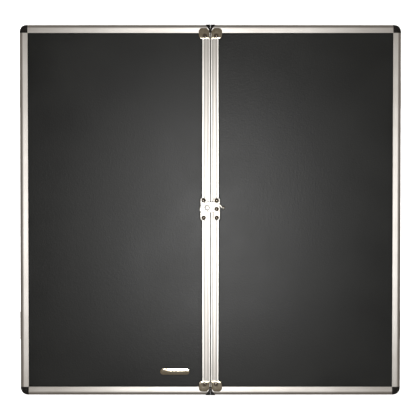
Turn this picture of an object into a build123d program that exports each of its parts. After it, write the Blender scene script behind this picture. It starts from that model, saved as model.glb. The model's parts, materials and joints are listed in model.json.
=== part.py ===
from build123d import *
import os

# Wall cabinet for a round dart board, in millimetres.
# +Z is up, the doors face -Y, x = 0 is the split between the doors, z = 0 is the underside,
# and y = 0 is half way through the closed case.
# Each tray (the carcass and the two doors) is a panel and four walls held in aluminium
# extrusions. It is first made with its panel's outer corner at the origin: x across,
# y from the panel's outer face into the tray, z up.

# ---------------------------------------------------------------- overall sizes
overall_width = 540.0
overall_height = 525.0
carcass_depth = 60.0
door_depth = 34.0
seam_gap = 2.0               # between the carcass rim and the door rims when shut
centre_gap = 0.6             # between the two doors when shut

# ---------------------------------------------------------------- boards and extrusions
board = 5.0                  # every panel and wall
skin = 1.5                   # outer wall of the extrusions
edge_leg = 12.0              # width of an edge extrusion on each of its two faces
edge_radius = 5.5
flange_skin = 1.2            # inner flange that grips the boards
flange_lap = 5.0
groove_width = 0.6
groove_depth = 0.4
stile_face = 11.0            # flat fluted stile on each door's free edge
stile_lip = 1.9
flute_step = 0.3             # the flute's sides are upright this far
flute_sag = 0.5              # and its floor is hollowed by this much more
stile_edge_radius = 0.8
trim_leg = 12.0              # outer leg of the rim trims
cap_radius = 10.0            # outline of the black corner caps
bevel_width = 6.4            # black centre blocks: width at the top edge
bevel_margin = 1.0           # from the bevel's point to the stile's end
bevel_outset = 0.2           # how far the blocks reach into the gap between the doors

# ---------------------------------------------------------------- door corner plates
plate_thick = 1.2
corner_plate_width = 15.2
corner_plate_lap = 8.5       # how far it reaches over the stile
corner_plate_inset = 1.0     # from the door's free edge
corner_plate_drop = 5.2      # from the door's top or bottom edge
corner_plate_lobe = 6.2
corner_plate_bevel = 4.0
corner_rivet_outset = 1.1    # from the boards' inner face to the rivet, so that it bites the panel
corner_rivet_lap = 4.3       # from the stile's end to the rivet

# ---------------------------------------------------------------- rivets and screws
rivet_head_radius = 3.3
rivet_head_height = 1.6
rivet_shank_radius = 1.6
rivet_grip = 5.0             # how far a shank goes in below its head's seat
wall_screw_radius = 2.75
wall_screw_span_x = 400.0
wall_screw_span_z = 400.0

# ---------------------------------------------------------------- hinges
hinge_height = 40.0
hinge_inset = 95.0           # hinge centre, from the top and bottom
hinge_pin_radius = 1.25
hinge_pin_clearance = 0.05
hinge_knuckle_radius = 2.6
hinge_side_clearance = 0.4   # between the knuckles and the case's side
hinge_swing_clearance = 0.4
hinge_knuckle_gap = 0.2
hinge_middle_knuckle = 15.0
hinge_leaf_width = 12.0
hinge_leaf_thick = 1.2
hinge_pin_head_radius = 2.2
hinge_pin_head_height = 1.0
hinge_rivet_radius = 2.6
hinge_rivet_height = 1.2
hinge_rivet_inset = 6.5      # from the leaf's outer edge to its rivets
hinge_rivet_span = 26.0

# ---------------------------------------------------------------- latch
latch_plate_width = 9.4
latch_plate_height = 32.0
latch_plate_radius = 3.0
keeper_plate_reach = 4.9     # from the split to the keeper plate's near edge
base_plate_reach = 4.2       # from the split to the base plate's near edge
latch_rivet_span = 24.4
latch_lift = 2.0             # from the door's mid height up to the latch's centre
stud_x = -4.4
stud_rise = 2.0
stud_neck_radius = 1.8
stud_head_radius = 3.8
stud_head_thick = 1.2
stud_tongue_radius = 3.5
pivot_rise = 0.2
pivot_radius = 1.9
pivot_collar_radius = 3.4
pivot_clearance = 0.05
pivot_head_radius = 3.2
pivot_head_height = 1.6
hook_thick = 1.6
hook_lift = 1.8              # hook's underside above the plates
hook_shift_x = 1.4           # centre of the hook's arch
hook_shift_z = -0.6
hook_half_width = 17.0
hook_half_height = 11.2
hook_band = 3.2
hook_foot_x = -11.2
hook_foot_z = -0.6
hook_foot_radius = 4.3
hook_boss_radius = 4.6
hook_slot_clearance = 0.3
hook_knob_x = 18.4
hook_knob_z = 1.8
hook_knob_radius = 2.3
hook_knob_height = 2.2

# ---------------------------------------------------------------- inside
badge_width = 42.0
badge_height = 9.0
badge_thick = 1.2
badge_x = -50.5
badge_z = 33.5
score_thick = 2.5
score_side_margin = 34.5     # from the door's sides to the sheet
score_foot_margin = 157.5
score_head_margin = 67.5
rack_width = 120.0
rack_reach = 18.0
rack_height = 14.0
rack_z = 70.0
rack_slot_width = 7.0
rack_slot_depth = 13.0
rack_slot_pitch = 34.0
rack_slots = 3
bracket_width = 84.0
bracket_height = 44.0
bracket_sheet = 2.0
bracket_lift = 10.0
bracket_foot = 16.0
bracket_slot = 12.0
bracket_slot_depth = 24.0
bracket_screw_radius = 2.0
bracket_screw_head = 3.8
bumper_radius = 9.0
bumper_stand = 3.0           # how far the bumpers stand behind the case
bumper_inset = 32.0

# ---------------------------------------------------------------- places that follow
core = skin + board          # inner face of every board, from the tray's outer face
stop = core + flange_skin    # where the boards stop, against the extrusions' corner blocks
closed_depth = carcass_depth + seam_gap + door_depth
front_y = -closed_depth / 2
back_y = closed_depth / 2
door_rim_y = front_y + door_depth
seam_y = door_rim_y + seam_gap / 2
door_width = (overall_width - centre_gap) / 2
groove_offset = (edge_radius + edge_leg) / 2
bevel_height = edge_leg - bevel_margin
corner_plate_top = edge_leg + corner_plate_lap
corner_rivet_across = core + corner_rivet_outset
corner_rivet_drop = edge_leg + corner_rivet_lap
hinge_axis_offset = hinge_knuckle_radius + hinge_side_clearance
latch_height = overall_height / 2 + latch_lift
keeper_rivet_x = -(keeper_plate_reach + latch_plate_width / 2)
base_rivet_x = base_plate_reach + latch_plate_width / 2
pivot_x = base_rivet_x
hinge_heights = [hinge_inset, overall_height - hinge_inset]
hinge_rivet_heights = [-hinge_rivet_span / 2, hinge_rivet_span / 2]
hook_seat = plate_thick + hook_lift


# ---------------------------------------------------------------- small tools
def block(low, high):
    """A box from its lowest corner to its highest."""
    size = [b - a for a, b in zip(low, high)]
    return Pos(*low) * Box(*size, align=(Align.MIN, Align.MIN, Align.MIN))


def area(low, high):
    """A rectangle from its lowest corner to its highest."""
    size = [b - a for a, b in zip(low, high)]
    return Pos(*low) * Rectangle(*size, align=(Align.MIN, Align.MIN))


def flip_x(shape, width):
    return mirror(shape, about=Plane.YZ.offset(width / 2))


def flip_z(shape, height):
    return mirror(shape, about=Plane.XY.offset(height / 2))


def rod(radius, start, direction, length):
    """A round bar from a start point along a direction."""
    plane = Plane(origin=start, z_dir=direction)
    return plane * Cylinder(radius, length, align=(Align.CENTER, Align.CENTER, Align.MIN))


def dome(radius, height, seat, direction):
    """A domed head on its seat, standing along a direction."""
    ball = (radius**2 + height**2) / (2 * height)
    cap = Pos(0, 0, height - ball) * Sphere(ball)
    cap = cap & block((-ball, -ball, 0), (ball, ball, height))
    return Plane(origin=seat, z_dir=direction) * cap


def rivet(seat, direction, head=rivet_head_radius, height=rivet_head_height):
    """A domed rivet: its head stands along the direction and its shank goes the other way."""
    inward = tuple(-value for value in direction)
    return dome(head, height, seat, direction) + rod(rivet_shank_radius, seat, inward, rivet_grip)


def shanks(seats, direction, grip=rivet_grip):
    """The holes that a list of rivets needs."""
    inward = tuple(-value for value in direction)
    return [rod(rivet_shank_radius, seat, inward, grip) for seat in seats]


def front_plate(outline, face_y, thick):
    """A plate from an outline in x and z, standing forward of a face."""
    plane = Plane(origin=(0, face_y, 0), x_dir=(1, 0, 0), z_dir=(0, -1, 0))
    return plane * extrude(outline, thick)


def outer_corner(outline):
    """The corner of an outline that is nearest the origin, on its outer side."""
    return outline.vertices().sort_by(lambda vertex: vertex.X + vertex.Y)[0]


# ---------------------------------------------------------------- extrusion sections
def edge_section():
    """Quarter-round edge extrusion: outer legs, corner block and the flanges behind the boards."""
    mask = fillet(outer_corner(area((0, 0), (edge_leg, edge_leg))), edge_radius)
    legs = area((0, 0), (edge_leg, skin)) + area((0, 0), (skin, edge_leg))
    far = stop + flange_lap
    flanges = area((stop, core), (far, stop)) + area((core, stop), (stop, far))
    section = legs + area((0, 0), (stop, stop)) + flanges
    near, far = groove_offset - groove_width / 2, groove_offset + groove_width / 2
    grooves = area((near, 0), (far, groove_depth)) + area((0, near), (groove_depth, far))
    return (section & mask) - grooves


def stile_section():
    """Flat stile with a hollowed flute between two lips, for the door's free edge."""
    mask = fillet(outer_corner(area((0, 0), (stile_face, edge_leg))), stile_edge_radius)
    legs = area((0, 0), (stile_face, skin)) + area((0, 0), (skin, edge_leg))
    flanges = area((stop, core), (stile_face, stop)) + area((core, stop), (stop, stop + flange_lap))
    section = legs + area((0, 0), (stop, stop)) + flanges
    half = stile_face / 2 - stile_lip
    hollow = (half**2 + flute_sag**2) / (2 * flute_sag)
    flute = Pos(stile_face / 2, flute_step + flute_sag - hollow) * Circle(hollow)
    flute = flute & area((stile_lip, 0), (stile_face - stile_lip, flute_step + flute_sag))
    return (section & mask) - flute


def upright(section, low, high):
    return Plane(origin=(0, 0, low), x_dir=(1, 0, 0), z_dir=(0, 0, 1)) * extrude(section, high - low)


def crosswise(section, low, high):
    return Plane(origin=(low, 0, 0), x_dir=(0, 1, 0), z_dir=(1, 0, 0)) * extrude(section, high - low)


def depthwise(section, low, high):
    return Plane(origin=(0, low, 0), x_dir=(0, 0, 1), z_dir=(0, 1, 0)) * extrude(section, high - low)


# ---------------------------------------------------------------- parts that every tray has
def panel_board(width, height):
    return block((stop, skin, stop), (width - stop, core, height - stop))


def side_board(depth, height):
    return block((skin, stop, stop), (core, depth - skin, height - stop))


def floor_board(width, depth):
    return block((stop, stop, skin), (width - stop, depth - skin, core))


def corner_cap():
    """Black corner at the origin, rounded outside and cut to clear the three boards."""
    outline = fillet(outer_corner(area((0, 0), (edge_leg, edge_leg))), cap_radius)
    cap = depthwise(outline, 0, edge_leg)
    front = cap.edges().group_by(Axis.Y)[0]
    outer = front.sort_by(lambda edge: max(edge.center().X, edge.center().Z))[:3]
    cap = fillet(outer, edge_radius)
    far = edge_leg + skin
    for low in [(stop, skin, stop), (skin, stop, stop), (stop, stop, skin)]:
        cap -= block(low, (far, far, far))
    return cap


def side_trim(depth, height):
    """U-shaped rim trim along the side wall at x = 0."""
    outer = block((0, depth - trim_leg, edge_leg), (skin, depth, height - edge_leg))
    web = block((0, depth - skin, edge_leg), (stop, depth, height - edge_leg))
    inner = block((core, depth - skin - flange_lap, edge_leg),
                  (stop, depth, height - edge_leg))
    return outer + web + inner


def floor_trim(width, depth):
    """U-shaped rim trim along the bottom wall at z = 0."""
    outer = block((edge_leg, depth - trim_leg, 0), (width - edge_leg, depth, skin))
    web = block((edge_leg, depth - skin, 0), (width - edge_leg, depth, stop))
    inner = block((edge_leg, depth - skin - flange_lap, core),
                  (width - edge_leg, depth, stop))
    return outer + web + inner


def depth_edge(depth):
    return depthwise(edge_section(), edge_leg, depth)


def carcass_tray():
    """The carcass, with its back panel at y = 0."""
    width, depth, height = overall_width, carcass_depth, overall_height
    stile = upright(edge_section(), edge_leg, height - edge_leg)
    rail = crosswise(edge_section(), edge_leg, width - edge_leg)
    edge, cap = depth_edge(depth), corner_cap()
    side, floor = side_trim(depth, height), floor_trim(width, depth)
    side_wall, bottom = side_board(depth, height), floor_board(width, depth)
    return {
        "back_panel": [panel_board(width, height)],
        "left_wall": [side_wall],
        "right_wall": [flip_x(side_wall, width)],
        "bottom_wall": [bottom],
        "top_wall": [flip_z(bottom, height)],
        "back_rails": [rail, flip_z(rail, height)],
        "back_stiles": [stile, flip_x(stile, width)],
        "carcass_corner_edges": four_corners(edge, width, height),
        "carcass_corner_caps": four_corners(cap, width, height),
        "carcass_rim_trims": [side, flip_x(side, width), floor, flip_z(floor, height)],
    }


def four_corners(shape, width, height):
    pair = [shape, flip_x(shape, width)]
    return pair + [flip_z(item, height) for item in pair]


def centre_block():
    """Black block at a door's free corner, here at the origin: a bevelled wedge with a side wing."""
    near = -bevel_outset
    wedge = Polyline((near, 0), (bevel_width, 0), (near, bevel_height), close=True)
    plane = Plane(origin=(0, 0, 0), x_dir=(1, 0, 0), z_dir=(0, -1, 0))
    solid = Pos(0, edge_leg, 0) * (plane * extrude(make_face(wedge), edge_leg))
    solid += block((near, 0, 0), (skin, edge_leg, edge_leg))
    return solid - side_board(door_depth, overall_height)


def corner_plate():
    """Chromed plate over a door's free corner, here at the origin, standing forward of y = 0."""
    outline = area((corner_plate_inset, corner_plate_drop),
                   (corner_plate_inset + corner_plate_width, corner_plate_top))
    inner = outline.vertices().group_by(Axis.X)[-1]
    outline = fillet(inner, corner_plate_lobe)
    outline = chamfer(outer_corner(outline), corner_plate_bevel)
    return front_plate(outline, 0, plate_thick)


def corner_rivet_seats():
    """Rivet seats on the corner plates of a door whose free edge is at x = 0."""
    heights = [corner_rivet_drop, overall_height - corner_rivet_drop]
    return [(corner_rivet_across, -plate_thick, height) for height in heights]


def door_tray():
    """A door with its free edge at x = 0, its hinge side at x = door_width, its face at y = 0."""
    width, depth, height = door_width, door_depth, overall_height
    free_wall = side_board(depth, height)
    centre = centre_block()
    stile = upright(stile_section(), edge_leg, height - edge_leg)
    rail = crosswise(edge_section(), skin, width - edge_leg) - centre
    hinge_stile = flip_x(upright(edge_section(), edge_leg, height - edge_leg), width)
    cap = flip_x(corner_cap(), width)
    plate = corner_plate()
    side, floor = side_trim(depth, height), floor_trim(width, depth)
    bottom = floor_board(width, depth)
    panel = panel_board(width, height)
    for hole in shanks(corner_rivet_seats(), (0, -1, 0)):
        panel -= hole
        stile -= hole
    plates = [plate, flip_z(plate, height)]
    for hole in shanks(corner_rivet_seats(), (0, -1, 0)):
        plates = [item - hole for item in plates]
    return {
        "panel": [panel],
        "free_wall": [free_wall],
        "hinge_wall": [flip_x(free_wall, width)],
        "end_walls": [bottom, flip_z(bottom, height)],
        "rails": [rail, flip_z(rail, height)],
        "centre_stile": [stile],
        "hinge_stile": [hinge_stile],
        "corner_edges": four_corners(depth_edge(depth), width, height),
        "corner_caps": [cap, flip_z(cap, height)],
        "centre_blocks": [centre, flip_z(centre, height)],
        "corner_plates": plates,
        "rim_trims": [side, flip_x(side, width), floor, flip_z(floor, height)],
        "corner_rivets": [rivet(seat, (0, -1, 0)) for seat in corner_rivet_seats()],
    }


# ---------------------------------------------------------------- hinges, on the side at x = 0
def hinge_knuckle(low, high, axis_y, bore):
    axis = (-hinge_axis_offset, axis_y, low)
    return rod(hinge_knuckle_radius, axis, (0, 0, 1), high - low) - rod(bore, axis, (0, 0, 1), high - low)


def knuckle_spans(centre):
    """The three knuckles' lowest and highest points: outer, middle, outer."""
    low, high = centre - hinge_height / 2, centre + hinge_height / 2
    inner = hinge_middle_knuckle / 2
    return [(low, centre - inner - hinge_knuckle_gap), (centre - inner, centre + inner),
            (centre + inner + hinge_knuckle_gap, high)]


def hinge_leaf(centre, rim_y, axis_y, own, others, bore):
    """A leaf from the rim back over the side, with its own knuckles and room for the others."""
    back = rim_y + hinge_leaf_width * (1 if rim_y > axis_y else -1)
    low_y, high_y = min(rim_y, back), max(rim_y, back)
    low, high = centre - hinge_height / 2, centre + hinge_height / 2
    leaf = block((-hinge_leaf_thick, low_y, low), (0, high_y, high))
    room = hinge_knuckle_radius + hinge_swing_clearance
    for start, end in others:
        start, end = max(low, start - hinge_knuckle_gap), min(high, end + hinge_knuckle_gap)
        leaf -= rod(room, (-hinge_axis_offset, axis_y, start), (0, 0, 1), end - start)
    for start, end in own:
        leaf += hinge_knuckle(start, end, axis_y, bore)
        leaf -= rod(bore, (-hinge_axis_offset, axis_y, start), (0, 0, 1), end - start)
    return leaf


def hinge_rivet_seats(rim_y, axis_y):
    away = 1 if rim_y > axis_y else -1
    across = rim_y + away * (hinge_leaf_width - hinge_rivet_inset)
    return [(-hinge_leaf_thick, across, centre + rise)
            for centre in hinge_heights for rise in hinge_rivet_heights]


def hinge_half(rim_y, axis_y, fixed):
    """Leaves and rivets of both hinges on one side, for the carcass (fixed) or for a door."""
    leaves = []
    bore = hinge_pin_radius + (0 if fixed else hinge_pin_clearance)
    seats = hinge_rivet_seats(rim_y, axis_y)
    for centre in hinge_heights:
        outer_low, middle, outer_high = knuckle_spans(centre)
        own, others = [outer_low, outer_high], [middle]
        if not fixed:
            own, others = others, own
        leaf = hinge_leaf(centre, rim_y, axis_y, own, others, bore)
        for hole in shanks(seats, (-1, 0, 0)):
            leaf -= hole
        leaves.append(leaf)
    rivets = [rivet(seat, (-1, 0, 0), hinge_rivet_radius, hinge_rivet_height) for seat in seats]
    return leaves, rivets, shanks(seats, (-1, 0, 0))


def hinge_pins(axis_y):
    pins = []
    for centre in hinge_heights:
        low = (-hinge_axis_offset, axis_y, centre - hinge_height / 2)
        high = (-hinge_axis_offset, axis_y, centre + hinge_height / 2)
        pin = rod(hinge_pin_radius, low, (0, 0, 1), hinge_height)
        pin += dome(hinge_pin_head_radius, hinge_pin_head_height, low, (0, 0, -1))
        pin += dome(hinge_pin_head_radius, hinge_pin_head_height, high, (0, 0, 1))
        pins.append(pin)
    return pins


# ---------------------------------------------------------------- latch
def latch_plate(near, far):
    outline = area((near, -latch_plate_height / 2), (far, latch_plate_height / 2))
    outline = fillet(outline.vertices(), latch_plate_radius)
    return Pos(0, latch_height) * outline


def latch_rivet_seats(across):
    rise = latch_rivet_span / 2
    return [(across, front_y - plate_thick, latch_height + step) for step in (-rise, rise)]


def keeper_plate():
    """Plate on the left door, with a round tongue that carries the stud."""
    outline = latch_plate(-keeper_plate_reach - latch_plate_width, -keeper_plate_reach)
    tongue = Pos(stud_x, latch_height + stud_rise) * Circle(stud_tongue_radius)
    plate = front_plate(outline + tongue, front_y, plate_thick)
    for hole in shanks(latch_rivet_seats(keeper_rivet_x), (0, -1, 0)):
        plate -= hole
    return plate - keeper_stud()


def keeper_stud():
    """Headed stud: the hook's slot goes round its neck, behind its head."""
    place = (stud_x, front_y, latch_height + stud_rise)
    reach = hook_seat + hook_thick + hook_slot_clearance
    head = (stud_x, front_y - reach, latch_height + stud_rise)
    return rod(stud_neck_radius, place, (0, -1, 0), reach) + dome(
        stud_head_radius, stud_head_thick, head, (0, -1, 0))


def base_plate():
    outline = latch_plate(base_plate_reach, base_plate_reach + latch_plate_width)
    plate = front_plate(outline, front_y, plate_thick)
    for hole in shanks(latch_rivet_seats(base_rivet_x), (0, -1, 0)):
        plate -= hole
    return plate - hook_pivot()


def hook_pivot():
    """Shouldered rivet that the hook turns on."""
    centre = latch_height + pivot_rise
    neck = hook_seat + hook_thick + pivot_clearance
    collar_top = hook_seat - pivot_clearance
    pin = rod(pivot_radius, (pivot_x, front_y, centre), (0, -1, 0), neck)
    pin += rod(pivot_collar_radius, (pivot_x, front_y - plate_thick, centre), (0, -1, 0),
               collar_top - plate_thick)
    return pin + dome(pivot_head_radius, pivot_head_height, (pivot_x, front_y - neck, centre), (0, -1, 0))


def hook_outline():
    """Arched hook: a rounded foot at the left, a slot for the stud and a boss on the pivot."""
    arch = Pos(hook_shift_x, hook_shift_z) * Ellipse(hook_half_width, hook_half_height)
    hollow = Pos(hook_shift_x, hook_shift_z) * Ellipse(
        hook_half_width - hook_band, hook_half_height - hook_band)
    upper = area((-hook_half_width * 2, 0), (hook_half_width * 2, hook_half_height * 2))
    band = (arch - hollow) & upper
    foot = Pos(hook_foot_x, hook_foot_z) * Circle(hook_foot_radius)
    boss = Pos(pivot_x, pivot_rise) * Circle(hook_boss_radius)
    web_left = hook_foot_x
    web_floor = stud_rise - stud_neck_radius - hook_slot_clearance
    web = (arch & upper) & area((web_left, web_floor), (pivot_x, hook_half_height))
    slot_half = stud_neck_radius + hook_slot_clearance
    slot = Pos(stud_x, stud_rise) * Circle(slot_half)
    slot += area((stud_x - slot_half, -hook_half_height), (stud_x + slot_half, stud_rise))
    return (band + foot + boss + web) - slot


def hook_lever():
    outline = Pos(0, latch_height) * hook_outline()
    hook = front_plate(outline, front_y - hook_seat, hook_thick)
    centre = latch_height + pivot_rise
    bore = pivot_radius + pivot_clearance
    hook -= rod(bore, (pivot_x, front_y, centre), (0, -1, 0), hook_seat + 2 * hook_thick)
    knob_foot = (hook_knob_x, front_y - hook_seat, latch_height + hook_knob_z)
    knob_top = (hook_knob_x, front_y - hook_seat - hook_thick, latch_height + hook_knob_z)
    hook += rod(hook_knob_radius, knob_foot, (0, -1, 0), hook_thick)
    return hook + dome(hook_knob_radius, hook_knob_height, knob_top, (0, -1, 0))


# ---------------------------------------------------------------- fittings inside
def dart_rack():
    """Comb on a door's inner face: darts stand in its slots, which open into the tray."""
    mid = door_width / 2
    rack = block((mid - rack_width / 2, core, rack_z),
                 (mid + rack_width / 2, core + rack_reach, rack_z + rack_height))
    first = mid - rack_slot_pitch * (rack_slots - 1) / 2
    for index in range(rack_slots):
        centre = first + index * rack_slot_pitch
        mouth = core + rack_reach
        rack -= block((centre - rack_slot_width / 2, mouth - rack_slot_depth, rack_z),
                      (centre + rack_slot_width / 2, mouth, rack_z + rack_height))
    return rack


def scoreboard():
    return block((score_side_margin, core, score_foot_margin),
                 (door_width - score_side_margin, core + score_thick, overall_height - score_head_margin))


def bracket_screw_seats():
    inner_face = back_y - core
    across = (bracket_width - bracket_foot) / 2
    rise = bracket_height / 4
    return [(side * across, inner_face - bracket_sheet, overall_height / 2 + step * rise)
            for side in (-1, 1) for step in (-1, 1)]


def board_bracket():
    """Top-hat steel bracket on the back panel: the board's centre screw drops into its slot."""
    face, half, mid = back_y - core, bracket_width / 2, overall_height / 2
    low, high = mid - bracket_height / 2, mid + bracket_height / 2
    near = half - bracket_foot
    front = face - bracket_lift
    hat = block((-near - bracket_sheet, front, low), (near + bracket_sheet, front + bracket_sheet, high))
    for side in (-1, 1):
        inner, middle, outer = side * near, side * (near + bracket_sheet), side * half
        hat += block((min(inner, middle), front, low), (max(inner, middle), face, high))
        hat += block((min(inner, outer), face - bracket_sheet, low), (max(inner, outer), face, high))
    slot_foot = high - bracket_slot_depth + bracket_slot / 2
    hat -= block((-bracket_slot / 2, front, slot_foot), (bracket_slot / 2, front + bracket_sheet, high))
    hat -= rod(bracket_slot / 2, (0, front, slot_foot), (0, 1, 0), bracket_sheet)
    for seat in bracket_screw_seats():
        hat -= rod(bracket_screw_radius, seat, (0, 1, 0), bracket_sheet)
    return hat


def bracket_screws():
    grip = bracket_sheet + board - skin
    return [rod(bracket_screw_radius, seat, (0, 1, 0), grip) + dome(
        bracket_screw_head, bracket_sheet, seat, (0, -1, 0)) for seat in bracket_screw_seats()]


def wall_bumpers():
    """Rubber discs stuck to the back panel, standing behind the case."""
    across = overall_width / 2 - bumper_inset
    heights = [bumper_inset, overall_height - bumper_inset]
    return [rod(bumper_radius, (side * across, back_y - skin, height), (0, 1, 0), skin + bumper_stand)
            for side in (-1, 1) for height in heights]


def wall_screw_holes():
    across, rise, mid = wall_screw_span_x / 2, wall_screw_span_z / 2, overall_height / 2
    return [rod(wall_screw_radius, (x * across, back_y - core, mid + z * rise), (0, 1, 0), core)
            for x in (-1, 1) for z in (-1, 1)]


def badge():
    """Plain pill-shaped name badge, left blank."""
    outline = Pos(badge_x, badge_z) * SlotOverall(badge_width, badge_height)
    return front_plate(outline, front_y + skin, badge_thick)


# ---------------------------------------------------------------- assembly
nodes = {}


def add(name, solids):
    nodes.setdefault(name, []).extend(solids)


def place_carcass():
    def seat(shape):
        turned = mirror(shape, about=Plane.XZ)
        return Pos(-overall_width / 2, back_y, 0) * turned

    parts = carcass_tray()
    leaves, rivets, holes = hinge_half(carcass_depth, carcass_depth + seam_gap / 2, True)
    both_holes = holes + [flip_x(hole, overall_width) for hole in holes]
    for name in ("left_wall", "right_wall", "carcass_rim_trims"):
        parts[name] = [pierce(item, both_holes) for item in parts[name]]
    parts["carcass_hinge_leaves"] = leaves + [flip_x(leaf, overall_width) for leaf in leaves]
    parts["carcass_hinge_rivets"] = rivets + [flip_x(item, overall_width) for item in rivets]
    pins = hinge_pins(carcass_depth + seam_gap / 2)
    parts["hinge_pins"] = pins + [flip_x(pin, overall_width) for pin in pins]
    for name, solids in parts.items():
        add(name, [seat(item) for item in solids])


def pierce(shape, holes):
    for hole in holes:
        shape = shape - hole
    return shape


def place_doors():
    parts = door_tray()
    hinge_side = door_width
    leaves, rivets, holes = hinge_half(door_depth, door_depth + seam_gap / 2, False)
    holes = [flip_x(hole, hinge_side) for hole in holes]
    for name in ("hinge_wall", "rim_trims"):
        parts[name] = [pierce(item, holes) for item in parts[name]]
    parts["hinge_leaves"] = [flip_x(leaf, hinge_side) for leaf in leaves]
    parts["hinge_rivets"] = [flip_x(item, hinge_side) for item in rivets]
    parts["scoreboard"] = [scoreboard()]
    parts["dart_rack"] = [dart_rack()]
    for name, solids in parts.items():
        right = [Pos(centre_gap / 2, front_y, 0) * item for item in solids]
        add("right_door_" + name, right)
        add("left_door_" + name, [mirror(item, about=Plane.YZ) for item in right])


def place_latch():
    add("keeper_plate", [keeper_plate()])
    add("keeper_stud", [keeper_stud()])
    add("latch_base_plate", [base_plate()])
    add("latch_pivot", [hook_pivot()])
    add("latch_hook", [hook_lever()])
    for side, across in (("left", keeper_rivet_x), ("right", base_rivet_x)):
        seats = latch_rivet_seats(across)
        add(side + "_latch_rivets", [rivet(seat, (0, -1, 0)) for seat in seats])
        for name in ("panel", "centre_stile"):
            node = f"{side}_door_{name}"
            nodes[node] = [pierce(item, shanks(seats, (0, -1, 0))) for item in nodes[node]]


def place_fittings():
    add("board_bracket", [board_bracket()])
    add("bracket_screws", bracket_screws())
    add("wall_bumpers", wall_bumpers())
    add("badge", [badge()])
    holes = wall_screw_holes() + bracket_screws()
    nodes["back_panel"] = [pierce(item, holes) for item in nodes["back_panel"]]


place_carcass()
place_doors()
place_latch()
place_fittings()

os.makedirs("parts", exist_ok=True)
for name, solids in nodes.items():
    pieces = [solid for item in solids for solid in item.solids()]
    export_step(Compound(children=pieces) if len(pieces) > 1 else pieces[0], f"parts/{name}.step")
print(len(nodes), "nodes")
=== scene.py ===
import json
import math

import bmesh
import bpy
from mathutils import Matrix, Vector


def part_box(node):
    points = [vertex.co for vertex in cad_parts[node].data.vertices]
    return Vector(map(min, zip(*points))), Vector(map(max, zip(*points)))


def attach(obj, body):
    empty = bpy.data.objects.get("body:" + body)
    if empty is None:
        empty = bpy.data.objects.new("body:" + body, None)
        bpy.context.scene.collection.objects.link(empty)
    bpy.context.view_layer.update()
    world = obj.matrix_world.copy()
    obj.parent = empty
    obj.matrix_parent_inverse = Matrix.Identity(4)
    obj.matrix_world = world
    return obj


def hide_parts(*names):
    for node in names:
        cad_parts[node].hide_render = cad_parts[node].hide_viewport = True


# Looks for the dart board cabinet: black grained boards in satin aluminium edging, pressed chrome
# corner plates and a chromed swing latch. Metres, +Z up, the doors face -Y.

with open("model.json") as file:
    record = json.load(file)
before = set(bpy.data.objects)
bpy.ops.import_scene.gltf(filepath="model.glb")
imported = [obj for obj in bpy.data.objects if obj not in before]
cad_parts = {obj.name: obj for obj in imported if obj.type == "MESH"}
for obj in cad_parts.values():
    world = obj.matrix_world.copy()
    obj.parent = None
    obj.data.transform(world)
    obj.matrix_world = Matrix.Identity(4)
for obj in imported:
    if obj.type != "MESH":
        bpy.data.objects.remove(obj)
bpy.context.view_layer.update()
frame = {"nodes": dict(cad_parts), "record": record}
NODES = frame["nodes"]
SIDES = {"left": -1, "right": 1}


# ---------------------------------------------------------------- places, read from the frame
FACE_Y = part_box("left_door_centre_stile")[0].y  # front face of the doors' edging
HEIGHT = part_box("left_door_rails")[1].z
HALF_WIDTH = -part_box("left_door_hinge_stile")[0].x
MIDDLE = HEIGHT / 2
HOOK_BACK_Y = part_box("latch_hook")[1].y   # plane of the hook's underside
LATCH_Z = sum(corner.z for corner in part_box("latch_base_plate")) / 2


def joint_place(name):
    """Place of a joint, from the record."""
    joints = frame["record"]["behaviour"]["joints"]
    return next(joint["pos_m"] for joint in joints if joint["name"] == name)


def centre_of(name):
    """Middle of a node's box, in x and z."""
    low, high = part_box(name)
    return (low.x + high.x) / 2, (low.z + high.z) / 2


# ---------------------------------------------------------------- camera, first
PHOTO_WIDTH = 416                         # pixels of the square picture
CASE_WIDTH_SEEN = 381.6                   # pixels across the case
CAMERA_DISTANCE = 1.55
CAMERA_PITCH = math.radians(1.3)
SENSOR = 0.036
CLIP_START = 0.01
CLIP_END = 50
AIM_ACROSS = -0.0034                      # the case stands a little right of the picture's middle
AIM_RISE = 0.0035                         # and a little below it


def make_camera():
    view_width = 2 * HALF_WIDTH * PHOTO_WIDTH / CASE_WIDTH_SEEN
    data = bpy.data.cameras.new("camera")
    data.sensor_width = SENSOR * 1000
    data.lens = 1000 * SENSOR * CAMERA_DISTANCE / view_width
    data.clip_start = CLIP_START
    data.clip_end = CLIP_END
    camera = bpy.data.objects.new("camera", data)
    bpy.context.scene.collection.objects.link(camera)
    target = Vector((AIM_ACROSS, FACE_Y, MIDDLE + AIM_RISE))
    back = Vector((0, -math.cos(CAMERA_PITCH), math.sin(CAMERA_PITCH)))
    camera.location = target + back * CAMERA_DISTANCE
    camera.rotation_euler = (-back).to_track_quat("-Z", "Y").to_euler()
    bpy.context.scene.camera = camera


make_camera()


# ---------------------------------------------------------------- material tools
def new_material(name, color, roughness, metallic=0.0, **sockets):
    """A Principled material, with its node tree and shader to build on."""
    material = bpy.data.materials.new(name)
    material.use_nodes = True
    tree = material.node_tree
    shader = tree.nodes["Principled BSDF"]
    shader.inputs["Base Color"].default_value = (*color, 1)
    shader.inputs["Roughness"].default_value = roughness
    shader.inputs["Metallic"].default_value = metallic
    for socket, value in sockets.items():
        shader.inputs[socket.replace("_", " ")].default_value = value
    return material, tree, shader


def object_space(tree, scale=(1, 1, 1)):
    """Object coordinates, stretched by a scale along each axis."""
    place = tree.nodes.new("ShaderNodeTexCoord")
    mapping = tree.nodes.new("ShaderNodeMapping")
    mapping.inputs["Scale"].default_value = scale
    tree.links.new(place.outputs["Object"], mapping.inputs["Vector"])
    return mapping.outputs["Vector"]


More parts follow.
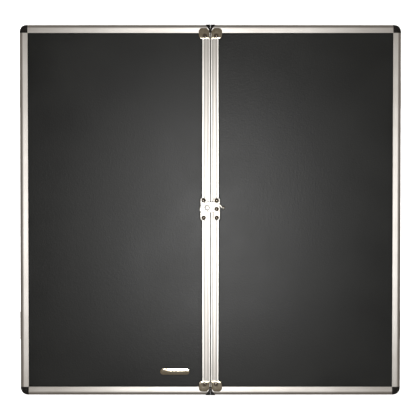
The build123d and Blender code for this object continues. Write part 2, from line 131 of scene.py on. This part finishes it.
def noise(tree, vector, scale, detail=4.0, roughness=0.55):
    made = tree.nodes.new("ShaderNodeTexNoise")
    made.inputs["Scale"].default_value = scale
    made.inputs["Detail"].default_value = detail
    made.inputs["Roughness"].default_value = roughness
    tree.links.new(vector, made.inputs["Vector"])
    return made.outputs["Fac"]


def ranged(tree, value, low, high, start=0.3, end=0.7):
    """A value from start to end, mapped to low to high."""
    made = tree.nodes.new("ShaderNodeMapRange")
    made.inputs["From Min"].default_value = start
    made.inputs["From Max"].default_value = end
    made.inputs["To Min"].default_value = low
    made.inputs["To Max"].default_value = high
    tree.links.new(value, made.inputs["Value"])
    return made.outputs["Result"]


def mixed_color(tree, factor, first, second):
    """A colour between two; a Mix node's sockets 6 and 7 and output 2 are its colours."""
    made = tree.nodes.new("ShaderNodeMix")
    made.data_type = "RGBA"
    made.inputs[6].default_value = (*first, 1)
    made.inputs[7].default_value = (*second, 1)
    tree.links.new(factor, made.inputs["Factor"])
    return made.outputs[2]


def added_bump(tree, shader, height, strength, distance):
    """A bump on the shader's normal. Distance is in metres."""
    bump = tree.nodes.new("ShaderNodeBump")
    bump.inputs["Strength"].default_value = strength
    bump.inputs["Distance"].default_value = distance
    tree.links.new(height, bump.inputs["Height"])
    tree.links.new(bump.outputs["Normal"], shader.inputs["Normal"])


def combined(tree, operation, first, second):
    made = tree.nodes.new("ShaderNodeMath")
    made.operation = operation
    for socket, value in zip(made.inputs, (first, second)):
        if isinstance(value, (int, float)):
            socket.default_value = value
        else:
            tree.links.new(value, socket)
    return made.outputs[0]


# ---------------------------------------------------------------- materials
def grained_board():
    """Black laminate with a fine pebble grain, faintly scuffed."""
    dark, pale = (0.0045, 0.0047, 0.0042), (0.0075, 0.0077, 0.0068)
    material, tree, shader = new_material("black_grained_laminate", dark, roughness=0.31,
                                          Specular_IOR_Level=0.18)
    space = object_space(tree)
    cells = tree.nodes.new("ShaderNodeTexVoronoi")
    cells.feature = "SMOOTH_F1"
    cells.inputs["Scale"].default_value = 620
    cells.inputs["Smoothness"].default_value = 0.7
    tree.links.new(space, cells.inputs["Vector"])
    wrinkle = noise(tree, space, scale=300, detail=4, roughness=0.6)
    patches = noise(tree, space, scale=11, detail=6, roughness=0.6)
    grain = combined(tree, "ADD", cells.outputs["Distance"], wrinkle)
    added_bump(tree, shader, grain, strength=0.35, distance=0.0002)
    color = mixed_color(tree, ranged(tree, patches, low=0, high=1), dark, pale)
    tree.links.new(color, shader.inputs["Base Color"])
    corner = tree.nodes.new("ShaderNodeAmbientOcclusion")  # painted shade: ambient occlusion lowers the board's reflection where it meets its edging, a painted shadow line
    corner.samples = 4
    corner.inputs["Distance"].default_value = 0.003
    painted_shade_gloss = ranged(tree, corner.outputs["AO"], low=0.02, high=0.18, start=0.5, end=1.0)
    tree.links.new(painted_shade_gloss, shader.inputs["Specular IOR Level"])
    tree.links.new(ranged(tree, patches, low=0.28, high=0.34), shader.inputs["Roughness"])
    return material


DRAWN_FINE = 1300.0                       # drawing lines per metre across an extrusion, and along it
DRAWN_LONG = 5.0
LIP_DEPTHS = (0.00005, 0.00025)           # behind the front face, where the painted lip highlight fades into the flute's painted shade


def satin_aluminium(name, along, lip_highlight_flute_shade=False):
    """Anodised aluminium with the fine drawing lines that run along an extrusion. The switch for the lips
    paints a highlight into the colour of whatever stands as far forward as the doors' front faces, and
    paints shade into the flute sunk behind them."""
    bright, dull = (0.70, 0.675, 0.64), (0.60, 0.57, 0.53)
    material, tree, shader = new_material(name, bright, roughness=0.4, metallic=1.0,
                                          Anisotropic=0.55)
    tangent = tree.nodes.new("ShaderNodeTangent")
    tangent.direction_type = "RADIAL"
    tangent.axis = along.upper()
    tree.links.new(tangent.outputs["Tangent"], shader.inputs["Tangent"])
    stretch = [DRAWN_FINE] * 3
    stretch["xyz".index(along)] = DRAWN_LONG
    lines = noise(tree, object_space(tree, stretch), scale=1.0, detail=3)
    cloud = noise(tree, object_space(tree), scale=22, detail=5)
    specks = noise(tree, object_space(tree), scale=700, detail=4, roughness=0.7)
    added_bump(tree, shader, lines, strength=0.12, distance=0.00005)
    share = ranged(tree, cloud, low=0, high=1)
    if lip_highlight_flute_shade:
        # painted highlight and painted shade: the colour is brighter where the extrusion stands at the
        # doors' front faces and darker in the flute sunk behind them
        parts = tree.nodes.new("ShaderNodeSeparateXYZ")
        tree.links.new(object_space(tree), parts.inputs["Vector"])
        sunk = ranged(tree, parts.outputs["Y"], 0, 1, FACE_Y + LIP_DEPTHS[0], FACE_Y + LIP_DEPTHS[1])
        bright, dull = (0.92, 0.90, 0.86), (0.56, 0.535, 0.50)
        clouded = combined(tree, "MULTIPLY", share, 0.15)
        shaded = combined(tree, "MULTIPLY", sunk, 0.85)
        share = combined(tree, "ADD", clouded, shaded)
    color = mixed_color(tree, share, bright, dull)
    tree.links.new(color, shader.inputs["Base Color"])
    drawn = ranged(tree, lines, low=0.36, high=0.46)
    pitted = ranged(tree, specks, low=0.0, high=0.06, start=0.5, end=0.8)
    wear = combined(tree, "ADD", drawn, pitted)
    tree.links.new(wear, shader.inputs["Roughness"])
    return material


def moulded_black():
    """Glossy black moulded plastic with a faint bloom."""
    material, tree, shader = new_material("black_moulded_plastic", (0.006, 0.0055, 0.005), roughness=0.12,
                                          Specular_IOR_Level=0.4)
    space = object_space(tree)
    added_bump(tree, shader, noise(tree, space, scale=420, detail=3), strength=0.12, distance=0.0001)
    bloom = noise(tree, space, scale=80, detail=5)
    tree.links.new(ranged(tree, bloom, low=0.08, high=0.17), shader.inputs["Roughness"])
    return material


TARNISH = (0.80, 0.74, 0.62)              # what a tarnished patch leaves of a plating's colour
HAIR_STRETCH = (900, 900, 90)             # hairline scratches per metre along each axis


def plated(name, color, low, high):
    """Plating with hairline scratches, tarnished patches and a faint ripple. Low and high are the
    ends of its roughness."""
    material, tree, shader = new_material(name, color, low, metallic=1.0)
    ripple = noise(tree, object_space(tree), scale=160, detail=2)
    hairs = noise(tree, object_space(tree, HAIR_STRETCH), scale=1.0, detail=3, roughness=0.7)
    tarnish = noise(tree, object_space(tree), scale=240, detail=5, roughness=0.65)
    added_bump(tree, shader, ripple, strength=0.14, distance=0.0003)
    scratched = ranged(tree, hairs, low, high, start=0.35, end=0.75)
    tree.links.new(scratched, shader.inputs["Roughness"])
    stained = tuple(value * share for value, share in zip(color, TARNISH))
    patches = ranged(tree, tarnish, low=0, high=1, start=0.45, end=0.8)
    tree.links.new(mixed_color(tree, patches, color, stained), shader.inputs["Base Color"])
    return material


ROUGHNESS_SPREAD = 0.08


def plain_moulding(name, color, roughness, grain):
    """Matt surface with a fine texture. Grain is its scale, per metre."""
    material, tree, shader = new_material(name, color, roughness)
    space = object_space(tree)
    pebble = noise(tree, space, grain, detail=4, roughness=0.7)
    added_bump(tree, shader, pebble, strength=0.3, distance=0.0001)
    cloud = noise(tree, space, scale=25, detail=4)
    shade = ranged(tree, cloud, roughness - ROUGHNESS_SPREAD, roughness + ROUGHNESS_SPREAD)
    tree.links.new(shade, shader.inputs["Roughness"])
    return material


WIPE_STRETCH = (3, 1, 9)                  # how close together the chalk's clouds lie along each axis


def score_surface():
    """Dark writing sheet, cloudy with wiped chalk."""
    dark, wiped = (0.02, 0.025, 0.022), (0.055, 0.062, 0.058)
    material, tree, shader = new_material("score_sheet", dark, roughness=0.6)
    clouds = noise(tree, object_space(tree, WIPE_STRETCH), scale=6.0, detail=6, roughness=0.65)
    share = ranged(tree, clouds, low=0, high=1, start=0.4, end=0.75)
    tree.links.new(mixed_color(tree, share, dark, wiped), shader.inputs["Base Color"])
    tooth = noise(tree, object_space(tree), scale=900, detail=3)
    added_bump(tree, shader, tooth, strength=0.15, distance=0.00005)
    return material


BOARD = grained_board()
ALU_X = satin_aluminium("satin_aluminium_across", "x")
ALU_Y = satin_aluminium("satin_aluminium_deep", "y")
ALU_Z = satin_aluminium("satin_aluminium_upright", "z")
ALU_PAINTED_LIPS = satin_aluminium("satin_aluminium_painted_lips", "z", lip_highlight_flute_shade=True)
PLASTIC = moulded_black()
CHROME = plated("chrome_plate", (0.84, 0.78, 0.64), 0.07, 0.15)
SATIN_CHROME = plated("satin_chrome_plate", (0.80, 0.78, 0.74), 0.36, 0.46)
RIVET = plated("bright_rivet", (0.44, 0.40, 0.36), 0.05, 0.11)
NICKEL = plated("nickel_plate", (0.60, 0.58, 0.54), 0.16, 0.30)
RUBBER = plain_moulding("black_rubber", (0.022, 0.022, 0.022), 0.75, 600)
RACK = plain_moulding("rack_plastic", (0.02, 0.02, 0.02), 0.45, 900)
POWDER = plain_moulding("black_powder_coat", (0.03, 0.03, 0.03), 0.42, 1600)
SHEET = score_surface()

FINISHES = [                              # words in a node's name, and the finish they call for
    (("scoreboard",), SHEET),
    (("rack",), RACK),
    (("bumpers",), RUBBER),
    (("caps", "blocks"), PLASTIC),
    (("bracket_screws", "rivets", "pins", "pivot"), RIVET),
    (("board_bracket",), POWDER),
    (("hinge_leaves",), NICKEL),
    (("keeper", "base_plate", "latch_hook"), SATIN_CHROME),
    (("corner_plates", "badge"), CHROME),
    (("rails", "rim_trims"), ALU_X),
    (("centre_stile",), ALU_PAINTED_LIPS),
    (("stile",), ALU_Z),
    (("corner_edges",), ALU_Y),
    (("wall", "panel"), BOARD),
]


def finish_of(name):
    """The first finish with a word that is in the node's name."""
    return next(finish for words, finish in FINISHES if any(word in name for word in words))


def dress_cad_nodes():
    for name, item in NODES.items():
        item.data.materials.clear()
        item.data.materials.append(finish_of(name))


dress_cad_nodes()


# ---------------------------------------------------------------- mesh tools
ROLL_STEPS = 5                            # rings across a plate's rolled edge
RELIEF_STEPS = 14                         # rings from a plate's edge to its centre
SHARP_ANGLE = math.radians(42)
BAND_ROLL_SHARE = 0.8                     # the most of a band's half width that its rolled edge takes up
LEAST_LEAN = 0.5                          # keeps an inset from running far out at a sharp corner


def arc(centre, radius, start, end, steps=10):
    """Points of an arc in x and z, its angles in degrees counted from +X towards +Z."""
    turns = [math.radians(start + (end - start) * step / steps) for step in range(steps + 1)]
    return [(centre[0] + radius * math.cos(turn), centre[1] + radius * math.sin(turn)) for turn in turns]


def rounded_outline(low, high, radius):
    """A rectangle in x and z with rounded corners, from the lower left one anticlockwise."""
    (left, foot), (right, head) = low, high
    corners = [
        (left, foot, 1, 1, 180),
        (right, foot, -1, 1, 270),
        (right, head, -1, -1, 0),
        (left, head, 1, -1, 90),
    ]
    outline = []
    for x, z, inward, upward, start in corners:
        outline += arc((x + inward * radius, z + upward * radius), radius, start, start + 90)
    return outline


def inset(outline, distance):
    """The outline moved inwards, along the normal at each of its points."""
    moved = []
    for index, point in enumerate(outline):
        here = Vector(point)
        first = (here - Vector(outline[index - 1])).normalized()
        second = (Vector(outline[(index + 1) % len(outline)]) - here).normalized()
        middle = Vector((-first.y - second.y, first.x + second.x)).normalized()
        lean = max(LEAST_LEAN, middle.dot(Vector((-first.y, first.x))))
        moved.append(tuple(here + middle * (distance / lean)))
    return moved


def bridged(rings):
    """Faces between rings of equal length, closed by a face at each end."""
    count = len(rings[0])
    faces = []
    for ring in range(len(rings) - 1):
        base, above = ring * count, (ring + 1) * count
        for step in range(count):
            after = (step + 1) % count
            faces.append((base + step, base + after, above + after, above + step))
    faces.append(tuple(reversed(range(count))))
    faces.append(tuple(range((len(rings) - 1) * count, len(rings) * count)))
    return [point for ring in rings for point in ring], faces


def plate(outline, back, thick, edge, relief=None, centre=None):
    """A plate facing -Y with a rolled edge. Relief raises its face, on rings that run in to the centre."""
    rings = [[(x, back, z) for x, z in outline]]
    for step in range(ROLL_STEPS + 1):
        turn = math.radians(90) * step / ROLL_STEPS
        lift = thick - edge * (1 - math.sin(turn))
        rings.append([(x, back - lift, z) for x, z in inset(outline, edge * (1 - math.cos(turn)))])
    if relief:
        rim = rings[-1]
        for step in range(1, RELIEF_STEPS):
            share = 1 - step / RELIEF_STEPS
            ring = []
            for x, _, z in rim:
                x, z = centre[0] + share * (x - centre[0]), centre[1] + share * (z - centre[1])
                ring.append((x, back - thick - relief(x, z) * (1 - share**4), z))
            rings.append(ring)
    return bridged(rings)


def lathed(profile, centre, back, steps=40):
    """A round form on the plane y = back that stands towards -Y: its profile gives radius and height."""
    x, z = centre
    turns = [2 * math.pi * step / steps for step in range(steps)]
    rings = []
    for radius, height in profile:
        rings.append([(x + radius * math.cos(turn), back - height, z + radius * math.sin(turn))
                      for turn in turns])
    return bridged(rings)


def domed(radius, height, foot=0.0, edge=0.0003, steps=8):
    """Profile of a domed head: upright by its edge, then crowned like a flattened ball."""
    profile = [(radius, foot), (radius, foot + edge)]
    for step in range(1, steps):
        turn = math.radians(90) * step / steps
        profile.append((radius * math.cos(turn), foot + edge + (height - edge) * math.sin(turn)))
    return profile


def banded(path, widths, back, thick, edge):
    """A flat band with rolled edges on the plane y = back, along a path in x and z."""
    rings = []
    for index, point in enumerate(path):
        before, after = path[max(index - 1, 0)], path[min(index + 1, len(path) - 1)]
        along = (Vector(after) - Vector(before)).normalized()
        across = Vector((-along.y, along.x))
        half = widths[index] / 2
        roll = min(edge, BAND_ROLL_SHARE * half)
        section = [(half, 0)]
        section += [(half - roll + u, thick - roll + v) for u, v in arc((0, 0), roll, 0, 90, 4)]
        section += [(roll - half + u, thick - roll + v) for u, v in arc((0, 0), roll, 90, 180, 4)]
        section.append((-half, 0))
        rings.append([(point[0] + away * across.x, back - lift, point[1] + away * across.y)
                      for away, lift in section])
    return bridged(rings)


def joined(shells):
    """Several shells as one list of vertices and one of faces."""
    points, faces = [], []
    for shell_points, shell_faces in shells:
        start = len(points)
        points += shell_points
        faces += [tuple(start + index for index in face) for face in shell_faces]
    return points, faces


def make_piece(name, shells, material, body, slot, *replaced):
    """An object from closed shells, riding on its body in place of CAD nodes, if any are named."""
    points, faces = joined(shells)
    mesh = bpy.data.meshes.new(name)
    mesh.from_pydata(points, [], faces)
    edit = bmesh.new()
    edit.from_mesh(mesh)
    bmesh.ops.recalc_face_normals(edit, faces=edit.faces)
    edit.to_mesh(mesh)
    edit.free()
    mesh.shade_smooth()
    mesh.set_sharp_from_angle(angle=SHARP_ANGLE)
    mesh.materials.append(material)
    piece = bpy.data.objects.new(name, mesh)
    bpy.context.scene.collection.objects.link(piece)
    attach(piece, body)
    if replaced:
        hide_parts(*replaced)


# ---------------------------------------------------------------- pressed corner plates
CORNER_PLATE_REACH = 0.0153               # from a corner plate's outer end to its end on the stile
CORNER_PLATE_BEVEL = 0.004
CORNER_PLATE_LOBE = 0.0052
CORNER_PLATE_EDGE = 0.0006
CORNER_PLATE_SMALL = 0.0008               # radius of its corner on the stile
DIMPLE_RADIUS = 0.0046                    # a pressed ring round each rivet
DIMPLE_WIDTH = 0.0009
DIMPLE_DEPTH = 0.00003
CROWN = 0.00012                           # how far the middle of a pressed plate stands proud


def corner_plate_outline(low_x, high_x, foot):
    """Plate at a right-hand door's lower corner: bevelled at the corner, two lobes over the panel."""
    head = foot + CORNER_PLATE_REACH
    lobe, small = CORNER_PLATE_LOBE, CORNER_PLATE_SMALL
    outline = [(low_x + CORNER_PLATE_BEVEL, foot)]
    outline += arc((high_x - lobe, foot + lobe), lobe, 270, 360)
    outline += arc((high_x - lobe, head - lobe), lobe, 0, 90)
    outline += arc((low_x + small, head - small), small, 90, 180, 4)
    return outline + [(low_x, foot + CORNER_PLATE_BEVEL)]


def pressed(seat):
    """Relief of a pressed plate: a sunk ring round the rivet's seat on a crowned face."""
    def relief(x, z):
        reach = math.hypot(x - seat[0], z - seat[1])
        return CROWN - DIMPLE_DEPTH * math.exp(-((reach - DIMPLE_RADIUS) / DIMPLE_WIDTH) ** 2)
    return relief


def make_corner_plates():
    for side, hand in SIDES.items():
        node = f"{side}_door_corner_plates"
        low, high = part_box(node)
        near, far = sorted((abs(low.x), abs(high.x)))
        rivet_low, rivet_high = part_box(f"{side}_door_corner_rivets")
        seat_x = abs(rivet_low.x + rivet_high.x) / 2
        seat_rise = rivet_low.z + (rivet_high.x - rivet_low.x) / 2  # the box is one rivet wide
        outline = corner_plate_outline(near, far, low.z)
        middle = ((near + far) / 2, low.z + CORNER_PLATE_REACH / 2)
        points, faces = plate(outline, high.y, high.y - low.y, CORNER_PLATE_EDGE,
                              pressed((seat_x, seat_rise)), middle)
        lower = [(hand * x, y, z) for x, y, z in points]
        upper = [(x, y, HEIGHT - z) for x, y, z in lower]
        make_piece(f"{side}_pressed_corner_plates", [(lower, faces), (upper, faces)], CHROME,
                   f"{side}_door", "chrome_hardware", node)


# ---------------------------------------------------------------- latch
LATCH_PLATE_RADIUS = 0.003
LATCH_PLATE_EDGE = 0.0007
KEEPER_TONGUE_RADIUS = 0.0035
KEEPER_TONGUE_REACH = 0.0040              # how far the tongue stands out of the keeper plate
STUD_NECK_RADIUS = 0.0018
KEEPER_TONGUE_EDGE = 0.0008
STUD_HEAD_THICK = 0.0012
HOOK_ARCH = (0.0014, -0.0006)             # centre of the arch, from the split and the latch's height
HOOK_HALF = (0.0170, 0.0112)              # its half width and height
HOOK_BAND = (0.0034, 0.0018)              # width of its band, and of the band's end by the knob
HOOK_PATH = (HOOK_HALF[0] - HOOK_BAND[0] / 2, HOOK_HALF[1] - HOOK_BAND[0] / 2)  # middle line of the band
HOOK_THICK = 0.0016
HOOK_ARCH_TURNS = (12, 176)               # degrees from the knob's side to the foot's
HOOK_ARCH_THICK = HOOK_THICK * 1.2
HOOK_ARCH_EDGE = 0.0008
HOOK_NARROWING = 3.0                      # the band is full width after a third of its length
HOOK_WEB_THICK = HOOK_THICK - 0.0006
HOOK_WEB_EDGE = 0.0003
HOOK_FOOT_THICK = HOOK_THICK * 1.3
HOOK_FOOT_EDGE = 0.0009
HOOK_PAD_THICK = HOOK_THICK * 0.85
HOOK_DISC_EDGE = 0.0005                   # rolled edge of the pad and the boss
HOOK_KNOB_FOOT = HOOK_THICK * 0.8
HOOK_NECK_SHARE = 0.7                     # the knob's neck, as a share of its radius
HOOK_FOOT = (-0.0112, -0.0006, 0.0043)    # place and radius
HOOK_PAD = (0.0010, 0.0012, 0.0060)       # each as the foot's
HOOK_KNOB = (0.0184, 0.0018, 0.0023)
HOOK_BOSS_RADIUS = 0.0046
HOOK_SLOT_HALF = 0.0021
HOOK_WEB_RIGHT = 0.0126                   # from the split to the web's end


def make_keeper_plate():
    """Pressed plate on the left door; a round tongue carries the stud."""
    low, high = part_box("keeper_plate")
    thick = high.y - low.y
    right = high.x - KEEPER_TONGUE_REACH
    outline = rounded_outline((low.x, low.z), (right, high.z), LATCH_PLATE_RADIUS)
    rounded_end = domed(KEEPER_TONGUE_RADIUS, thick, edge=KEEPER_TONGUE_EDGE)
    tongue = lathed(rounded_end, centre_of("keeper_stud"), high.y)
    body = plate(outline, high.y, thick, LATCH_PLATE_EDGE)
    make_piece("keeper_plate_pressed", [body, tongue], SATIN_CHROME, "left_door",
               "chrome_hardware", "keeper_plate")


def make_base_plate():
    low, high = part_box("latch_base_plate")
    outline = rounded_outline((low.x, low.z), (high.x, high.z), LATCH_PLATE_RADIUS)
    body = plate(outline, high.y, high.y - low.y, LATCH_PLATE_EDGE)
    make_piece("latch_base_plate_pressed", [body], SATIN_CHROME, "right_door",
               "chrome_hardware", "latch_base_plate")


def make_stud():
    """Headed stud: a turned neck under a crowned head."""
    low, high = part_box("keeper_stud")
    radius, reach = (high.x - low.x) / 2, high.y - low.y
    under = reach - STUD_HEAD_THICK
    profile = [(STUD_NECK_RADIUS, 0), (STUD_NECK_RADIUS, under)] + domed(radius, STUD_HEAD_THICK, under)
    stud = lathed(profile, centre_of("keeper_stud"), high.y)
    make_piece("keeper_stud_turned", [stud], SATIN_CHROME, "left_door", "bright_rivet", "keeper_stud")


def arch_path(start, end, steps=40):
    """Points along the middle of the arch's band, from one angle to another, in degrees."""
    half, rise = HOOK_PATH
    turns = [math.radians(start + (end - start) * step / steps) for step in range(steps + 1)]
    return [(HOOK_ARCH[0] + half * math.cos(turn), LATCH_Z + HOOK_ARCH[1] + rise * math.sin(turn))
            for turn in turns]


def hook_web():
    """Thinner plate inside the arch, with the slot that goes round the stud."""
    stud_x, stud_z = centre_of("keeper_stud")
    half = HOOK_PATH[0]
    right, left = HOOK_WEB_RIGHT, HOOK_FOOT[0]
    start = math.degrees(math.acos((right - HOOK_ARCH[0]) / half))
    end = math.degrees(math.acos((left - HOOK_ARCH[0]) / half))
    outline = [(left, LATCH_Z), (stud_x - HOOK_SLOT_HALF, LATCH_Z)]
    outline += arc((stud_x, stud_z), HOOK_SLOT_HALF, 180, 0)
    outline += [(stud_x + HOOK_SLOT_HALF, LATCH_Z), (right, LATCH_Z)]
    outline += arch_path(start, end, 20)
    return plate(outline, HOOK_BACK_Y, HOOK_WEB_THICK, HOOK_WEB_EDGE)


def hook_arch():
    """The arch: a flat band with rolled edges that narrows towards the knob."""
    path = arch_path(*HOOK_ARCH_TURNS)
    growth = [min(1.0, HOOK_NARROWING * index / len(path)) for index in range(len(path))]
    widths = [HOOK_BAND[1] + (HOOK_BAND[0] - HOOK_BAND[1]) * share for share in growth]
    return banded(path, widths, HOOK_BACK_Y, HOOK_ARCH_THICK, HOOK_ARCH_EDGE)


def flat_disc(place, radius, thick, edge):
    """A flat round plate with a rolled edge, on the hook's underside plane."""
    outline = arc(place, radius, 0, 360, 48)[:-1]
    return plate(outline, HOOK_BACK_Y, thick, edge)


def make_hook():
    """Cast swing hook: web, arch, foot, pad, boss and knob."""
    pivot = joint_place("latch_hook_turn")
    foot_x, foot_z, foot = HOOK_FOOT
    pad_x, pad_z, pad = HOOK_PAD
    knob_x, knob_z, knob = HOOK_KNOB
    reach = HOOK_BACK_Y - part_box("latch_hook")[0].y
    neck = HOOK_NECK_SHARE * knob
    knob_profile = [(neck, 0), (neck, HOOK_KNOB_FOOT)] + domed(knob, reach - HOOK_KNOB_FOOT, HOOK_KNOB_FOOT)
    shells = [
        hook_web(),
        hook_arch(),
        flat_disc((foot_x, LATCH_Z + foot_z), foot, HOOK_FOOT_THICK, HOOK_FOOT_EDGE),
        flat_disc((pad_x, LATCH_Z + pad_z), pad, HOOK_PAD_THICK, HOOK_DISC_EDGE),
        flat_disc((pivot[0], pivot[2]), HOOK_BOSS_RADIUS, HOOK_THICK, HOOK_DISC_EDGE),
        lathed(knob_profile, (knob_x, LATCH_Z + knob_z), HOOK_BACK_Y),
    ]
    make_piece("latch_hook_cast", shells, SATIN_CHROME, "latch_hook", "chrome_hardware", "latch_hook")


# ---------------------------------------------------------------- badge
BADGE_EDGE = 0.0005
BADGE_BORDER = 0.0011                     # from the badge's outline to its raised field
BADGE_FIELD = (0.0001, 0.0004, 0.0002)    # how deep the field's back is sunk, its thickness and its edge


def make_badge():
    """Plain pill-shaped badge with a rolled edge and a raised, blank field."""
    low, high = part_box("badge")
    half = (high.z - low.z) / 2
    mid = (low.z + high.z) / 2
    outline = arc((low.x + half, mid), half, 90, 270, 16) + arc((high.x - half, mid), half, -90, 90, 16)
    body = plate(outline, high.y, high.y - low.y, BADGE_EDGE)
    sunk, thick, edge = BADGE_FIELD
    field = plate(inset(outline, BADGE_BORDER), low.y + sunk, thick, edge)
    make_piece("name_badge_blank", [body, field], CHROME, "left_door", "chrome_hardware", "badge")


make_corner_plates()
make_keeper_plate()
make_base_plate()
make_stud()
make_hook()
make_badge()


# ---------------------------------------------------------------- floor, backdrop and light
FLOOR_RADIUS = 3.4
BEND_RADIUS = 0.8
WALL_HEIGHT = 4.0
HUB_RADIUS = 0.02                         # the small disc in the floor's middle
FLOOR_DROP = 0.0002                       # keeps the floor just under the cabinet
BEND_STEPS = 10
STEPS_AROUND = 64
PAPER_COLOR = (0.9, 0.9, 0.9)
PAPER_GLOW = 0.72                         # the paper's own light, which keeps it near white everywhere


def make_stage():
    """A round pale sweep: floor, a soft bend and a wall all round."""
    profile = [(HUB_RADIUS, 0.0), (FLOOR_RADIUS, 0.0)]
    for step in range(1, BEND_STEPS + 1):
        turn = math.radians(90) * step / BEND_STEPS
        profile.append((FLOOR_RADIUS + BEND_RADIUS * math.sin(turn), BEND_RADIUS * (1 - math.cos(turn))))
    profile.append((FLOOR_RADIUS + BEND_RADIUS, WALL_HEIGHT))
    turns = [2 * math.pi * step / STEPS_AROUND for step in range(STEPS_AROUND)]
    rings = []
    for radius, height in profile:
        level = height - FLOOR_DROP
        rings.append([(radius * math.cos(turn), radius * math.sin(turn), level) for turn in turns])
    points, faces = bridged(rings)
    mesh = bpy.data.meshes.new("studio_sweep")
    mesh.from_pydata(points, [], faces[:-1])
    mesh.shade_smooth()
    sweep = bpy.data.objects.new("studio_sweep", mesh)
    bpy.context.scene.collection.objects.link(sweep)
    material, _, shader = new_material("pale_paper", PAPER_COLOR, roughness=0.9)
    shader.inputs["Emission Color"].default_value = (1, 1, 1, 1)
    shader.inputs["Emission Strength"].default_value = PAPER_GLOW
    mesh.materials.append(material)
    sweep.visible_glossy = False
    sweep.visible_shadow = False


def add_area(name, place, aim, size, radiance):
    """A soft box that gives off a radiance, in watts per square metre and steradian."""
    data = bpy.data.lights.new(name, "AREA")
    data.shape = "RECTANGLE"
    data.size, data.size_y = size
    data.energy = radiance * math.pi * size[0] * size[1]
    light = bpy.data.objects.new(name, data)
    light.location = place
    light.rotation_euler = (Vector(aim) - Vector(place)).to_track_quat("-Z", "Y").to_euler()
    light.visible_camera = False
    bpy.context.scene.collection.objects.link(light)


WORLD_TINT = (1.0, 0.87, 0.73, 1)
WORLD_STRENGTH = 0.14
FRONT_BOX = ((0.0, -1.75, 0.19), (0.34, 0.60), 19)  # place, size and radiance of each soft box
TOP_BOX = ((0.0, 1.1, 2.0), (2.0, 1.0), 0.9)
BACK_BOX = ((1.7, 1.3, 0.9), (0.9, 1.4), 1.8)       # one on each side


def make_light():
    scene = bpy.context.scene
    scene.view_settings.view_transform = "Standard"
    world = bpy.data.worlds.new("studio")
    world.use_nodes = True
    background = world.node_tree.nodes["Background"]
    background.inputs["Color"].default_value = WORLD_TINT
    background.inputs["Strength"].default_value = WORLD_STRENGTH
    scene.world = world
    middle = (0, 0, MIDDLE)
    for name, (place, size, radiance) in (("front_box", FRONT_BOX), ("top_box", TOP_BOX)):
        add_area(name, place, middle, size, radiance)
    (across, behind, height), size, radiance = BACK_BOX
    for side, hand in SIDES.items():
        add_area(f"{side}_back_box", (hand * across, behind, height), middle, size, radiance)


make_stage()
make_light()
